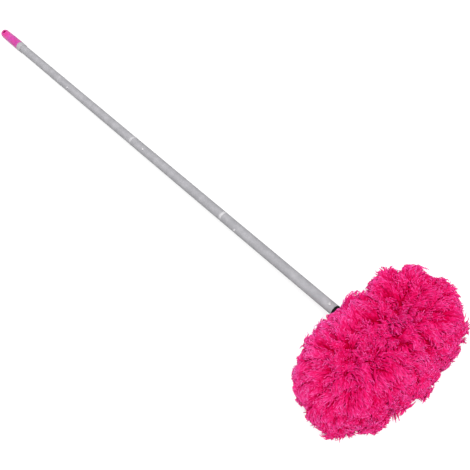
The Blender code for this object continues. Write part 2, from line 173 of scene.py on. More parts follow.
def is_wide(thing):
    """Whether a wire or a value is a vector or a colour."""
    return isinstance(thing, tuple) or isinstance(thing, Wire) and thing.socket.type in ("VECTOR", "RGBA")


class Made:
    """The outputs of a node, by number, or by name where the node shows that name once."""

    def __init__(self, graph, node):
        self.graph = graph
        self.node = node

    def __getitem__(self, key):
        return Wire(self.graph, pick(self.node.outputs, key))


def pick(sockets, key):
    if isinstance(key, int):
        return [socket for socket in sockets if socket.enabled][key]
    return next(socket for socket in sockets if socket.name == key and socket.enabled)


class Graph:
    """A node tree that is being wired up."""

    def __init__(self, tree):
        self.tree = tree
        tree.nodes.clear()

    def add(self, kind, settings=None, inputs=None):
        """Adds a node: first its settings, a ramp's stops among them, then its sockets' values or wires."""
        node = self.tree.nodes.new(kind)
        for name, value in (settings or {}).items():
            if name == "stops":
                self.set_stops(node.color_ramp.elements, value)
            else:
                setattr(node, name, value)
        for key, value in (inputs or {}).items():
            socket = pick(node.inputs, key)
            if isinstance(value, Wire):
                self.tree.links.new(value.socket, socket)
            elif socket.type == "RGBA" and len(value) == 3:
                socket.default_value = (*value, 1.0)
            else:
                socket.default_value = value
        return Made(self, node)

    def set_stops(self, elements, stops):
        while len(elements) < len(stops):
            elements.new(1.0)
        for element, (place, colour) in zip(elements, stops):
            element.position = place
            element.color = (*colour, 1.0)

    def maths(self, operation, *terms):
        """A Math node, or a Vector Math node where any term is a vector or a colour."""
        kind = "ShaderNodeVectorMath" if any(map(is_wide, terms)) else "ShaderNodeMath"
        return self.add(kind, {"operation": operation}, dict(enumerate(terms)))[0]

    def least(self, first, second):
        return self.maths("MINIMUM", first, second)

    def most(self, first, second):
        return self.maths("MAXIMUM", first, second)

    def vector(self, *parts):
        return self.add("ShaderNodeCombineXYZ", inputs=dict(enumerate(parts)))[0]

    def blend(self, share, first, second):
        """A colour between two colours."""
        return self.add("ShaderNodeMix", {"data_type": "RGBA"}, {"Factor": share, "A": first, "B": second})[0]

    def ramp(self, share, low, high, start=0.0, end=1.0):
        """A number that goes smoothly from start to end as share goes from low to high."""
        limits = {"Value": share, "From Min": low, "From Max": high, "To Min": start, "To Max": end}
        return self.add("ShaderNodeMapRange", {"interpolation_type": "SMOOTHSTEP"}, limits)[0]

    def noise(self, place, scale, detail=2.0, roughness=0.5):
        inputs = {"Vector": place, "Scale": scale, "Detail": detail, "Roughness": roughness}
        return self.add("ShaderNodeTexNoise", inputs=inputs)[0]


def bare_material(name):
    material = bpy.data.materials.new(name)
    material.use_nodes = True
    return material, Graph(material.node_tree)


def finish(name, colour, roughness, height, bump_strength, bump_distance, uv=None, **constants):
    """A material from functions of the graph and the place: its colour, its roughness and a bump's height."""
    material, graph = bare_material(name)
    if uv:
        place = graph.add("ShaderNodeUVMap", {"uv_map": uv})["UV"]
    else:
        place = graph.add("ShaderNodeTexCoord")["Object"]
    bump = {"Height": height(graph, place), "Strength": bump_strength, "Distance": bump_distance}
    inputs = {
        "Base Color": colour(graph, place),
        "Roughness": roughness(graph, place),
        "Normal": graph.add("ShaderNodeBump", inputs=bump)[0],
    }
    for socket, value in constants.items():
        inputs[socket.replace("_", " ").title().replace("Ior", "IOR")] = value
    shader = graph.add("ShaderNodeBsdfPrincipled", inputs=inputs)[0]
    graph.add("ShaderNodeOutputMaterial", inputs={"Surface": shader})
    return material


def uneven(scale, low, high, detail=3.0):
    """A roughness that drifts between two values over the surface."""
    return lambda graph, place: graph.ramp(graph.noise(place, scale, detail), 0.3, 0.7, low, high)


def grain(scale, detail=2.0):
    """The height of a fine even grain."""
    return lambda graph, place: graph.noise(place, scale, detail)


def rounded(corners):
    """A turned piece's profile with its corners rounded; a corner is (along, from the axis, rounding)."""
    line = []
    for i, corner in enumerate(corners):
        point = Vector(corner[:2])
        if len(corner) < 3 or not corner[2] or i in (0, len(corners) - 1):
            line.append(point)
            continue
        before = Vector(corners[i - 1][:2]) - point
        after = Vector(corners[i + 1][:2]) - point
        half = before.angle(after) / 2
        reach = min(corner[2] / math.tan(half), before.length * 0.49, after.length * 0.49)
        radius = reach * math.tan(half)
        centre = point + (before.normalized() + after.normalized()).normalized() * radius / math.sin(half)
        start = point + before.normalized() * reach - centre
        sweep = -start.angle_signed(point + after.normalized() * reach - centre)
        for k in range(corner_steps + 1):
            line.append(centre + Matrix.Rotation(sweep * k / corner_steps, 2) @ start)
    return [(point.x, point.y) for point in line]


def turned(profile, sides, axis=(1, 0, 0)):
    """A closed solid turned from (along, radius) points; a profile that never meets the axis gives a tube."""
    bm = bmesh.new()
    along = Vector(axis)
    out = along.orthogonal().normalized()
    points = [bm.verts.new(along * place + out * radius) for place, radius in profile]
    edges = [bm.edges.new(pair) for pair in zip(points, points[1:])]
    if all(radius > 0 for _, radius in profile):
        edges.append(bm.edges.new((points[-1], points[0])))
    bmesh.ops.spin(
        bm, geom=points + edges, cent=(0, 0, 0), axis=along, angle=math.tau, steps=sides, use_merge=True
    )
    bmesh.ops.remove_doubles(bm, verts=bm.verts, dist=fit_gap / sides)
    return bm


def dome(foot, tip, radius, steps):
    """A profile's rounded end, from its foot to its tip on the axis."""
    turns = [math.pi / 2 * i / steps for i in range(1, steps)]
    return [(foot + (tip - foot) * math.sin(turn), radius * math.cos(turn)) for turn in turns] + [(tip, 0)]


def on_pole(along, across=0):
    """A place on the pole, with the pole's own axes; along runs from the last tube's end towards the head."""
    return pole @ Matrix.Translation((along, across, 0))


def shape(name, bm, place):
    """An object from a closed bmesh in its place, shaded smooth but for edges past the crisp angle."""
    bmesh.ops.recalc_face_normals(bm, faces=bm.faces)
    bm.transform(place)
    mesh = bpy.data.meshes.new(name)
    bm.to_mesh(mesh)
    bm.free()
    mesh.shade_smooth()
    mesh.set_sharp_from_angle(angle=crisp_angle)
    thing = bpy.data.objects.new(name, mesh)
    bpy.context.scene.collection.objects.link(thing)
    return thing


def finished_mesh(thing):
    """A plain mesh of a piece with its modifiers applied."""
    graph = bpy.context.evaluated_depsgraph_get()
    return bpy.data.meshes.new_from_object(thing.evaluated_get(graph))


def join(thing, others, operation):
    """Joins other closed shapes to a piece, or takes them out of it, for good."""
    for other in others:
        modifier = thing.modifiers.new(other.name, "BOOLEAN")
        modifier.operation = operation
        modifier.solver = "EXACT"
        modifier.object = other
    mesh = finished_mesh(thing)
    mesh.name = thing.name
    thing.modifiers.clear()
    thing.data = mesh
    for other in others:
        bpy.data.objects.remove(other)


def cut(thing, cutters):
    join(thing, cutters, "DIFFERENCE")
    thing.data.set_sharp_from_angle(angle=crisp_angle)


def dress(thing, material, node, body="duster"):
    """Gives a piece its finish, and puts it in its node's place on its body, if it has one body."""
    thing.data.materials.clear()
    thing.data.materials.append(material)
    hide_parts(node)
    if body:
        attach(thing, body)


def pink_plastic_colour(graph, place):
    """Dull pink where the tube shows through, deeper pink in the solid tip, and shade in the hang hole."""
    cloud = graph.noise(place, 60.0, 3.0)
    fleck = graph.noise(place, 900.0, 1.0)
    base = graph.blend(graph.ramp(cloud, 0.3, 0.7), (0.56, 0.022, 0.30), (0.68, 0.036, 0.39))
    dull = graph.blend(graph.ramp(fleck, 0.62, 0.75) * 0.35, base, (0.80, 0.09, 0.50))
    tube_start = pole.translation.dot(pole_along) + cap_mouth - cap_socket_depth
    past_tube = place.dot(tuple(pole_along)) - tube_start
    clear = graph.blend(graph.ramp(past_tube, *solid_tip_fade), dull, (0.74, 0.012, 0.32))
    hole = on_pole(hang_hole_along).translation
    from_hole = (place - tuple(hole)).flat_on(tuple(pole_up)).length()
    return graph.blend(graph.ramp(from_hole, *hang_hole_shade), clear, (0.50, 0.001, 0.16))


pink_plastic = finish(
    "pink_plastic",
    pink_plastic_colour,
    uneven(240.0, 0.30, 0.42),
    grain(1500.0),
    bump_strength=0.25,
    bump_distance=0.0002,
    ior=1.49,
    subsurface_weight=0.15,
    subsurface_scale=0.002,
)


def cap_profile():
    tip_radius = cap_tip_diameter / 2
    dome_start = -cap_length + cap_dome_length
    socket_radius = tube_diameter / 2 + fit_gap
    outside = rounded(
        [
            (-cap_socket_depth - fit_gap, 0),
            (-cap_socket_depth - fit_gap, socket_radius, cap_lip_round),
            (0, socket_radius, cap_lip_round / 2),
            (0, cap_diameter / 2, cap_lip_round),
            (dome_start + cap_taper_length, cap_diameter / 2, cap_taper_length),
            (dome_start, tip_radius),
        ]
    )
    return outside + dome(dome_start, -cap_length, tip_radius, cap_dome_steps)


def hang_hole():
    """A hole across the cap's tip, its rims dished and softened."""
    reach = cap_diameter / 2 + cutter_overrun
    floor = cap_tip_diameter / 2 - hang_dish_depth
    dish = hang_dish_diameter / 2
    hole = hang_hole_diameter / 2
    upper = [
        (floor, hole, hang_dish_round / 2),
        (floor, dish - hang_dish_round, hang_dish_round),
        (reach, dish),
        (reach, 0),
    ]
    profile = rounded([(-height, *rest) for height, *rest in reversed(upper)] + upper)
    return shape("hang_hole", turned(profile, cap_sides, (0, 0, 1)), on_pole(hang_hole_along))


cap = shape("cap", turned(cap_profile(), cap_sides), on_pole(cap_mouth))
cut(cap, [hang_hole()])
dress(cap, pink_plastic, "hang_cap")


# Collar
#
# A short ring of light grey plastic, pushed on against the cap's mouth. It swells a little past the cap, then
# tapers down to the tube.

collar_length = 0.0200
collar_swell_length = 0.0055
collar_diameter = 0.0257
collar_lip = 0.0007
collar_lip_round = 0.0004
collar_swell_round = 0.0200


def mottled(scale, dark, pale):
    """A colour that drifts in soft clouds between two near shades."""
    return lambda graph, place: graph.blend(graph.ramp(graph.noise(place, scale, 3.0), 0.3, 0.7), dark, pale)


light_plastic = finish(
    "light_grey_plastic",
    mottled(90.0, (0.42, 0.414, 0.434), (0.47, 0.462, 0.484)),
    uneven(300.0, 0.42, 0.52),
    grain(1500.0),
    bump_strength=0.2,
    bump_distance=0.0002,
    ior=1.49,
)


def collar_profile():
    bore = tube_diameter / 2 + fit_gap
    return rounded(
        [
            (fit_gap, bore),
            (fit_gap, cap_diameter / 2, collar_lip_round),
            (collar_swell_length, collar_diameter / 2, collar_swell_round),
            (collar_length, bore + collar_lip, collar_lip_round),
            (collar_length, bore),
        ]
    )


collar = shape("collar", turned(collar_profile(), cap_sides), on_pole(cap_mouth))
dress(collar, light_plastic, "cap_collar")


# Pole tubes
#
# Four drawn metal tubes with a satin grey finish. Three of them are swaged down to a spigot that slides into
# the next one, whose mouth is rolled out in a small bead. A hole in each joint lets a snap button through.

tube_wall = 0.0010
spigot_length = 0.0700
neck_length = 0.0020
neck_round = 0.0030
mouth_shine = 0.0045
# How much each mouth's band shows: bare rubbed metal and painted highlight, least at the first.
mouth_wear_and_highlight_shares = (0.15, 0.75, 1.0)
drawn_stretch = 0.02
spigot_nose_length = 0.0015
spigot_nose_taper = 0.0005
bead_rise = 0.0003
bead_length = 0.0025
bead_round = 0.0006
tube_end_round = 0.0003
tube_sides = 96
button_diameter = 0.0060
button_hole_clearance = 0.0004
button_from_seam = 0.0500
head_button_from_end = 0.0120
button_sides = 48
bore_radius = tube_diameter / 2 - tube_wall
spigot_radius = bore_radius - fit_gap
spigot_bore_radius = spigot_radius - tube_wall


def mouth_wear_and_highlight(graph, place):
    """A band at each tube's mouth, less so at the first: bare metal where the coat is rubbed off, and a
    painted highlight, which keeps it to the upper side.
    """
    from_pole = place - tuple(pole.translation)
    along = from_pole.dot(tuple(pole_along))
    worn_and_lit = 0.0
    for seam, share in zip(seams, mouth_wear_and_highlight_shares):
        before = graph.ramp(along, seam - mouth_shine, seam - fit_gap)
        after = graph.ramp(along, seam + mouth_shine, seam + bead_length)
        worn_and_lit = before * after * share + worn_and_lit
    # Kept to the upper side of the pole: a painted highlight.
    return worn_and_lit * graph.ramp(from_pole.dot(tuple(pole_up)), 0, tube_diameter / 2)


def drawn_lines(graph, place, scale):
    """Fine noise, stretched into lines along the tube."""
    along, across, up = place.parts()
    return graph.noise(graph.vector(along * drawn_stretch, across, up), scale, 2.0)


def tube_metal_colour(graph, place):
    """Drawn lines and soft clouds in a grey satin coat, paler at the mouths: rubbed bare, with a painted
    highlight.
    """
    clouds = graph.noise(place, 45.0, 4.0, 0.6)
    base = graph.blend(graph.ramp(clouds, 0.35, 0.7), (0.385, 0.381, 0.402), (0.465, 0.458, 0.482))
    lines = graph.ramp(drawn_lines(graph, place, 2600.0), 0.4, 0.7)
    coat = graph.blend(lines * 0.25, base, (0.53, 0.52, 0.55))
    return graph.blend(mouth_wear_and_highlight(graph, place), coat, (0.68, 0.67, 0.69))


grey_metal = finish(
    "grey_metal",
    tube_metal_colour,
    uneven(120.0, 0.40, 0.50),
    lambda graph, place: drawn_lines(graph, place, 3200.0),
    bump_strength=0.15,
    bump_distance=0.0001,
    specular_ior_level=0.1,
)


def tube_profile(length, has_mouth, has_spigot):
    """Wall of one tube: its outer side towards the head, then the bore back again."""
    radius = tube_diameter / 2
    if has_mouth:
        outer = [
            (0, radius + bead_rise, bead_round),
            (bead_length, radius + bead_rise, bead_round),
            (bead_length + bead_rise + bead_round, radius, bead_round),
        ]
    else:
        outer = [(0, radius, tube_end_round)]
    corners = [(tube_end_round, bore_radius), (0, bore_radius, tube_end_round)] + outer
    if not has_spigot:
        return rounded(
            corners
            + [(length, radius, tube_end_round), (length, bore_radius, tube_end_round)]
            + [(length - tube_end_round * 2, bore_radius)]
        )
    shoulder = length - neck_length - fit_gap
    tip = length + spigot_length
    corners += [
        (shoulder, radius, neck_round),
        (length - fit_gap, spigot_radius, neck_round),
        (tip - spigot_nose_length, spigot_radius, spigot_nose_length),
        (tip, spigot_radius - spigot_nose_taper, tube_end_round),
        (tip, spigot_bore_radius, tube_end_round),
        (length - fit_gap, spigot_bore_radius, neck_round),
        (shoulder, bore_radius),
    ]
    return rounded(corners)


# Each button stands on its joint's axis, kept here as a turn about the pole from straight up.
button_axes = [pole_turn.transposed() @ Vector(joint["axis"]) for joint in frame["joints"]]
button_turns = [math.atan2(axis.y, -axis.z) for axis in button_axes]
button_places = [seam + button_from_seam for seam in seams] + [-head_button_from_end]


def button_place(number):
    """The button's own axes on the pole, its z axis outwards."""
    return on_pole(button_places[number]) @ Matrix.Rotation(button_turns[number], 4, "X")


def button_hole(number):
    radius = button_diameter / 2 + button_hole_clearance
    profile = [(0, 0), (0, radius), (tube_diameter, radius), (tube_diameter, 0)]
    return shape(f"button_hole_{number + 1}", turned(profile, button_sides, (0, 0, 1)), button_place(number))


tube_runs = (
    (cap_mouth - cap_socket_depth, cap_socket_depth + upper_tube_length, False, True, (0,)),
    (seams[0], middle_tube_length, True, True, (0, 1)),
    (seams[1], middle_tube_length, True, True, (1, 2)),
    (seams[2], lower_tube_length, True, False, (2, 3)),
)
for number, (start, length, has_mouth, has_spigot, holes) in enumerate(tube_runs, 1):
    bm = turned(tube_profile(length, has_mouth, has_spigot), tube_sides)
    tube = shape(f"pole_tube_{number}", bm, on_pole(start))
    cut(tube, [button_hole(hole) for hole in holes])
    dress(tube, grey_metal, f"tube_{number}")


# Snap buttons
#
# Four turned steel pins with a domed head. Each stands up through the hole of its joint, held in by a flange
# under the inner tube's wall, and can be pressed in until the tube slides over it.

button_flange_diameter = 0.0080
button_flange_thickness = 0.0008
button_proud = 0.0015
button_dome_height = 0.0012
button_edge_round = 0.0003
button_dome_steps = 10
ferrule_wall = 0.0015


def steel(name, pale, dark, dulling, grit, metallic=1.0):
    """Steel scuffed between a pale and a dark shade; dulling is its roughness's scale and its two ends."""

    def scuffed(graph, place):
        scuffs = graph.noise(place, 700.0, 4.0, 0.6)
        return graph.blend(graph.ramp(scuffs, 0.35, 0.7), dark, pale)

    return finish(
        name,
        scuffed,
        uneven(*dulling),
        grain(grit),
        bump_strength=0.1,
        bump_distance=0.0001,
        metallic=metallic,
    )


button_steel = steel(
    "button_steel", (0.68, 0.67, 0.68), (0.53, 0.52, 0.54), (900.0, 0.34, 0.46), 2500.0, metallic=0.4
)


def button_bore(number):
    return spigot_bore_radius if number < len(seams) else spigot_radius - ferrule_wall


def flange_seat(bore):
    """Height of the flange's face over the pole's axis, its rim one gap away from the bore."""
    return math.sqrt((bore - fit_gap) ** 2 - (button_flange_diameter / 2) ** 2)


def button_profile(bore):
    radius = button_diameter / 2
    seat = flange_seat(bore)
    top = tube_diameter / 2 + button_proud
    shoulder = top - button_dome_height
    stem = rounded(
        [
            (seat - button_flange_thickness, 0),
            (seat - button_flange_thickness, button_flange_diameter / 2, button_edge_round),
            (seat, button_flange_diameter / 2, button_edge_round),
            (seat, radius, button_edge_round),
            (shoulder, radius),
        ]
    )
    return stem + dome(shoulder, top, radius, button_dome_steps)


for number in range(len(button_places)):
    bm = turned(button_profile(button_bore(number)), button_sides, (0, 0, 1))
    button = shape(f"button_{number + 1}", bm, button_place(number))
    name = f"snap_button_{number + 1}"
    dress(button, button_steel, name, name)


# Strip springs
#
# A strip of spring steel, folded back on itself, lies inside each joint. Its long leg rests on the far wall
# of the bore, and its short leg presses the button out.

strip_width = 0.0070
strip_thickness = 0.0006
strip_pad_reach = 0.0060
strip_length = 0.0320
strip_fold_radius = 0.0025
strip_fold_steps = 20

spring_steel = steel("spring_steel", (0.58, 0.59, 0.61), (0.44, 0.45, 0.48), (500.0, 0.26, 0.40), 1800.0)


def pad_height(bore):
    return flange_seat(bore) - button_flange_thickness - fit_gap - strip_thickness / 2


def wall_height(bore):
    return strip_thickness / 2 - math.sqrt((bore - fit_gap) ** 2 - (strip_width / 2) ** 2)


def strip_line(bore):
    """The strip's middle line in its own XZ plane: the pad, the sloping leg, the fold and the long leg."""
    pad = pad_height(bore)
    wall = wall_height(bore)
    centre = Vector((-strip_length, 0, wall + strip_fold_radius))
    line = [Vector((strip_pad_reach, 0, pad)), Vector((-strip_pad_reach, 0, pad))]
    for i in range(strip_fold_steps + 1):
        turn = math.pi / 2 + math.pi * i / strip_fold_steps
        line.append(centre + Vector((math.cos(turn), 0, math.sin(turn))) * strip_fold_radius)
    return line + [Vector((strip_pad_reach, 0, wall))]


def mitre(line, i):
    """The way that a line runs at one of its points, and how much the bend there takes off its width."""
    before = (line[i] - line[max(i - 1, 0)]).normalized()
    after = (line[min(i + 1, len(line) - 1)] - line[i]).normalized()
    along = (before + after).normalized()
    return along, max(along.dot(after), along.dot(before))


def skin(bm, loops, capped=False):
    """Quads between each closed loop of points and the next, and a face over each end where it is capped."""
    for lower, upper in zip(loops, loops[1:]):
        count = len(lower)
        for i in range(count):
            j = (i + 1) % count
            bm.faces.new((lower[i], lower[j], upper[j], upper[i]))
    if capped:
        bm.faces.new(loops[0])
        bm.faces.new(loops[-1])


def strip(bore):
    """The middle line given its thickness with mitred bends, then its width."""
    line = strip_line(bore)
    wide = Vector((0, strip_width / 2, 0))
    bm = bmesh.new()
    rows = []
    for i, point in enumerate(line):
        along, bend = mitre(line, i)
        thick = Vector((-along.z, 0, along.x)) * strip_thickness / 2 / bend
        corners = (point - thick - wide, point + thick - wide, point + thick + wide, point - thick + wide)
        rows.append([bm.verts.new(corner) for corner in corners])
    skin(bm, rows, capped=True)
    return bm


for number in range(len(button_places)):
    bore = button_bore(number)
    place = button_place(number)
    spring = shape(f"strip_spring_{number + 1}", strip(bore), place)
    dress(spring, spring_steel, f"snap_spring_{number + 1}", body=None)
    fold_top = wall_height(bore) + strip_fold_radius * 2 + strip_thickness / 2
    pad_foot = pad_height(bore) - strip_thickness / 2
    start = place @ Vector((0, 0, fold_top))
    end = place @ Vector((0, 0, pad_foot))
    f"snap_button_{number + 1}"
    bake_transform(spring)


# Ferrule and cross pin
#
# A black plastic plug that joins the head to the pole. Its spigot snaps into the last tube, its collar meets
# the tube's end, and the wire's two legs sit in its nose, held by a steel pin driven across.

ferrule_spigot_length = 0.0460
ferrule_web = 0.0030
ferrule_collar_diameter = 0.0224
ferrule_collar_length = 0.0040
ferrule_body_diameter = 0.0212
ferrule_length = 0.0260
ferrule_edge_round = 0.0006
leg_spacing = 0.0130
wire_diameter = 0.0038
pin_diameter = 0.0016
pin_from_end = 0.0120
pin_recess = 0.0004
pin_round = 0.0002
ferrule_sides = 96

black_plastic = finish(
    "black_plastic",
    mottled(200.0, (0.003, 0.003, 0.0035), (0.008, 0.007, 0.008)),
    uneven(500.0, 0.38, 0.52),
    grain(1600.0),
    bump_strength=0.2,
    bump_distance=0.0002,
    specular_ior_level=0.08,
)


def ferrule_profile():
    bore = spigot_radius - ferrule_wall
    ring = ferrule_collar_diameter / 2
    body = ferrule_body_diameter / 2
    return rounded(
        [
            (-ferrule_web, 0),
            (-ferrule_web, bore, ferrule_edge_round),
            (-ferrule_spigot_length, bore, pin_round),
            (-ferrule_spigot_length, spigot_radius - spigot_nose_taper, pin_round),
            (-ferrule_spigot_length + spigot_nose_length, spigot_radius, spigot_nose_length),
            (fit_gap, spigot_radius),
            (fit_gap, ring, ferrule_edge_round),
            (ferrule_collar_length, ring, ferrule_edge_round),
            (ferrule_collar_length + ferrule_edge_round, body, ferrule_edge_round),
            (ferrule_length, body, ferrule_edge_round),
            (ferrule_length, 0),
        ]
    )


def leg_hole(side):
    radius = wire_diameter / 2 + fit_gap
    end = ferrule_length + cutter_overrun
    profile = [(ferrule_web, 0), (ferrule_web, radius), (end, radius), (end, 0)]
    return shape("leg_hole", turned(profile, button_sides), on_pole(0, side * leg_spacing / 2))


def cross_rod(name, reach, radius, rounding):
    """A rod across the ferrule's nose, through both legs of the wire."""
    profile = rounded([(-reach, 0), (-reach, radius, rounding), (reach, radius, rounding), (reach, 0)])
    return shape(name, turned(profile, button_sides, (0, 1, 0)), on_pole(ferrule_length - pin_from_end))


def pin_hole():
    return cross_rod("pin_hole", ferrule_body_diameter / 2 + cutter_overrun, pin_diameter / 2 + fit_gap, 0)


ferrule = shape("ferrule_plug", turned(ferrule_profile(), ferrule_sides), pole)
cut(ferrule, [leg_hole(1), leg_hole(-1), pin_hole(), button_hole(3)])
dress(ferrule, black_plastic, "ferrule")

pin = cross_rod("cross_pin", ferrule_body_diameter / 2 - pin_recess, pin_diameter / 2, pin_round)
dress(pin, spring_steel, "leg_pin")


# Wire loop
#
# One length of stiff spring wire, bent into an oval with a slot's width in its middle. Its two legs flare in
# from the oval and run side by side into the ferrule.

head_centre = 0.1175
loop_half_width = 0.0550
loop_half_straight = 0.0620
flare_radius = 0.0240
wire_sides = 20
wire_arc_step = math.radians(5.0)

wire_steel = steel("wire_steel", (0.56, 0.56, 0.58), (0.40, 0.40, 0.43), (400.0, 0.28, 0.42), 1500.0)


def arc(centre, radius, start, sweep):
    steps = math.ceil(abs(sweep) / wire_arc_step)
    turns = [start + sweep * i / steps for i in range(steps + 1)]
    return [Vector((centre[0] + radius * math.cos(t), centre[1] + radius * math.sin(t), 0)) for t in turns]


def loop_line(first):
    """The wire's middle line from first on the pole, up one leg, round the oval and down the other leg."""
    near = head_centre - loop_half_width
    half_leg = leg_spacing / 2
    half = [Vector((first, half_leg, 0))]
    half += arc((near - flare_radius, half_leg + flare_radius), flare_radius, -math.pi / 2, math.pi / 2)
    half += arc((head_centre, loop_half_straight), loop_half_width, math.pi, -math.pi)
    return half + [Vector((point.x, -point.y, 0)) for point in reversed(half)]


def ring_round(bm, line, i, radius, sides):
    """A ring of points round the line at one of its points, mitred to the bend there."""
    along, bend = mitre(line, i)
    aside = Vector((-along.y, along.x, 0)) / bend
    ring = []
    for k in range(sides):
        turn = math.tau * (k + 0.5) / sides
        out = aside * math.cos(turn) + Vector((0, 0, math.sin(turn)))
        ring.append(bm.verts.new(line[i] + out * radius))
    return ring


def wire_rod():
    line = loop_line(ferrule_web + fit_gap)
    bm = bmesh.new()
    rings = [ring_round(bm, line, i, wire_diameter / 2, wire_sides) for i in range(len(line))]
    skin(bm, rings, capped=True)
    return bm


wire = shape("wire_oval", wire_rod(), pole)
cut(wire, [pin_hole()])
dress(wire, wire_steel, "wire_loop")


# Backing sleeve
#
# A knitted cloth tube, sewn along the wire from one leg to the other. The yarn's strands are knotted through
# it, and its courses of stitches stand up as fine ribs.

sleeve_diameter = 0.0110
sleeve_rib_height = 0.0004
sleeve_rib_spacing = 0.0030
sleeve_sides = 28

sleeve_cloth = finish(
    "sleeve_cloth",
    mottled(500.0, (0.42, 0.012, 0.10), (0.62, 0.03, 0.20)),
    uneven(800.0, 0.85, 0.97, detail=2.0),
    grain(1800.0, detail=3.0),
    bump_strength=0.5,
    bump_distance=0.0004,
)


def even_line(line, spacing):
    """The same line with its points set evenly, about a spacing apart."""
    ways = [0]
    for first, second in zip(line, line[1:]):
        ways.append(ways[-1] + (second - first).length)
    count = round(ways[-1] / spacing)
    found = []
    k = 0
    for i in range(count + 1):
        way = ways[-1] * i / count
        while k < len(line) - 2 and ways[k + 1] < way:
            k += 1
        found.append(line[k].lerp(line[k + 1], (way - ways[k]) / (ways[k + 1] - ways[k])))
    return found


def sleeve_tube():
    """A ribbed pipe round the wire, its bore a gap wider than the wire."""
    line = even_line(loop_line(ferrule_length + fit_gap), sleeve_rib_spacing / 2)
    bore = wire_diameter / 2 + fit_gap
    bm = bmesh.new()
    outer = []
    for i in range(len(line)):
        rib = sleeve_rib_height if i % 2 else 0
        outer.append(ring_round(bm, line, i, sleeve_diameter / 2 - rib, sleeve_sides))
    inner = [ring_round(bm, line, i, bore, sleeve_sides) for i in range(len(line))]
    skin(bm, outer + inner[::-1] + [outer[0]])
    return bm


sleeve = shape("knitted_sleeve", sleeve_tube(), pole)
dress(sleeve, sleeve_cloth, "backing_sleeve")


# Sleeve tie
#
# A flat black plastic tie, pulled tight round the sleeve's two ends just past the ferrule, its lock on top.

tie_width = 0.0040
tie_thickness = 0.0012
tie_from_ferrule = 0.0050
tie_head_length = 0.0052
tie_head_height = 0.0040
tie_arc_steps = 20
tie_edge_round = 0.0003


def oval_round(bm, place, reach):
    """A loop of points round both sleeve ends at x = place."""
    loop = []
    for side, start in ((1, -math.pi / 2), (-1, math.pi / 2)):
        for i in range(tie_arc_steps + 1):
            turn = start + math.pi * i / tie_arc_steps
            y = side * leg_spacing / 2 + reach * math.cos(turn)
            loop.append(bm.verts.new((place, y, reach * math.sin(turn))))
    return loop


def tie_band():
    start = ferrule_length + tie_from_ferrule
    end = start + tie_width
    inner = sleeve_diameter / 2 + fit_gap
    outer = inner + tie_thickness
    edge = tie_edge_round
    outline = ((inner, start), (outer - edge, start), (outer, start + edge))
    outline += ((outer, end - edge), (outer - edge, end), (inner, end))
    bm = bmesh.new()
    loops = [oval_round(bm, place, reach) for reach, place in outline]
    skin(bm, loops + [loops[0]])
    return bm


def tie_lock():
    size = (tie_width + tie_thickness, tie_head_length, tie_head_height)
    height = sleeve_diameter / 2 + fit_gap + tie_thickness / 2 + tie_head_height / 2
    middle = (ferrule_length + tie_from_ferrule + tie_width / 2, 0, height)
    bm = bmesh.new()
    bmesh.ops.create_cube(bm, size=1, matrix=Matrix.LocRotScale(middle, None, size))
    edges = bm.verts[:] + bm.edges[:]
    bmesh.ops.bevel(bm, geom=edges, offset=tie_edge_round, segments=3, profile=0.5, affect="EDGES")
    return bm


tie = shape("tie_band", tie_band(), pole)
join(tie, [shape("tie_lock", tie_lock(), pole)], "UNION")
dress(tie, black_plastic, "sleeve_tie")


# Yarn head
#
# Thousands of soft pink yarn ends, knotted through the sleeve all round the oval. They stand out from the
# wire, gather in tufts, and lie over each other away from the slot. The crimson shade between the tufts is
# partly real and partly painted shade in the strands' colour.

head_half_length = 0.1790
head_half_width = 0.1172
head_half_height = 0.0660
tip_height_share = 0.90
outline_power = 2.2
section_power = 0.85
rest_depth = 0.0610
sector_count = 12

bed_depth_share = 0.74
bed_rings = 12
bed_points = 40
bed_gap = 0.0002
bed_floor_lift = 0.0015
bed_bore = 0.0064
crease_reach = 0.0950
slot_gap = 0.0015
ferrule_dimple_radius = 0.0170
ferrule_dimple_end = -0.0880
outline_steps = 24
pole_side_trim = 0.10
far_side_trim = 0.20
right_end_trim = 0.15

# Tufts and gaps of the outline: share of the way round the oval from the pole, width as a share, rise.
outline_tufts = (
    (0.080, 0.034, -0.0260),
    (0.147, 0.010, 0.0110),
    (0.168, 0.012, -0.0130),
    (0.192, 0.010, 0.0060),
    (0.234, 0.016, -0.0130),
    (0.300, 0.018, -0.0080),
    (0.333, 0.010, 0.0070),
    (0.360, 0.012, -0.0060),
    (0.398, 0.010, 0.0020),
    (0.425, 0.018, -0.0130),
    (0.506, 0.012, 0.0120),
    (0.558, 0.016, -0.0125),
    (0.610, 0.018, -0.0190),
    (0.684, 0.018, -0.0090),
    (0.718, 0.012, 0.0090),
    (0.770, 0.010, -0.0110),
    (0.805, 0.020, 0.0030),
    (0.862, 0.014, 0.0050),
    (0.896, 0.010, -0.0045),
    (0.958, 0.018, -0.0060),
)

strands_per_area = 180000.0
strand_points = 7
strand_sides = 4
strand_width = 0.0023
strand_lift = 0.0205
strand_lay = 0.0240
strand_swirl = 0.0500
strand_wander = 0.0100
strand_least_length = 0.56
strand_length_spread = 0.62
strand_taper = 0.7
strand_least_width = 0.8
strand_width_spread = 0.4
lie_power = 1.4
wander_own = 0.7
root_sink = 0.0020
slot_lean = (-0.050, -0.005, 0.15, 1.0)
swirl_scale = 38.0
tuft_spacing = 0.0112
tufts_per_area = 30000.0
tuft_seed_step = 100.0
tuft_least_height = 0.86
tuft_height_spread = 0.34
tuft_edge_drop = 0.20
tuft_pull = 0.45
tuft_gather = 0.38
curl_reach = 0.0029
curl_turns = 2.0
curl_phase_tuft = 9.0
curl_phase_own = 3.5
curl_side_own = 0.6
# Beads of painted light and shade along each strand, as its crimps would show them.
strand_crimps = 3.0
crimp_shift = 7.0
crimp_shade_depth = 0.20
ply_turns = 9.0

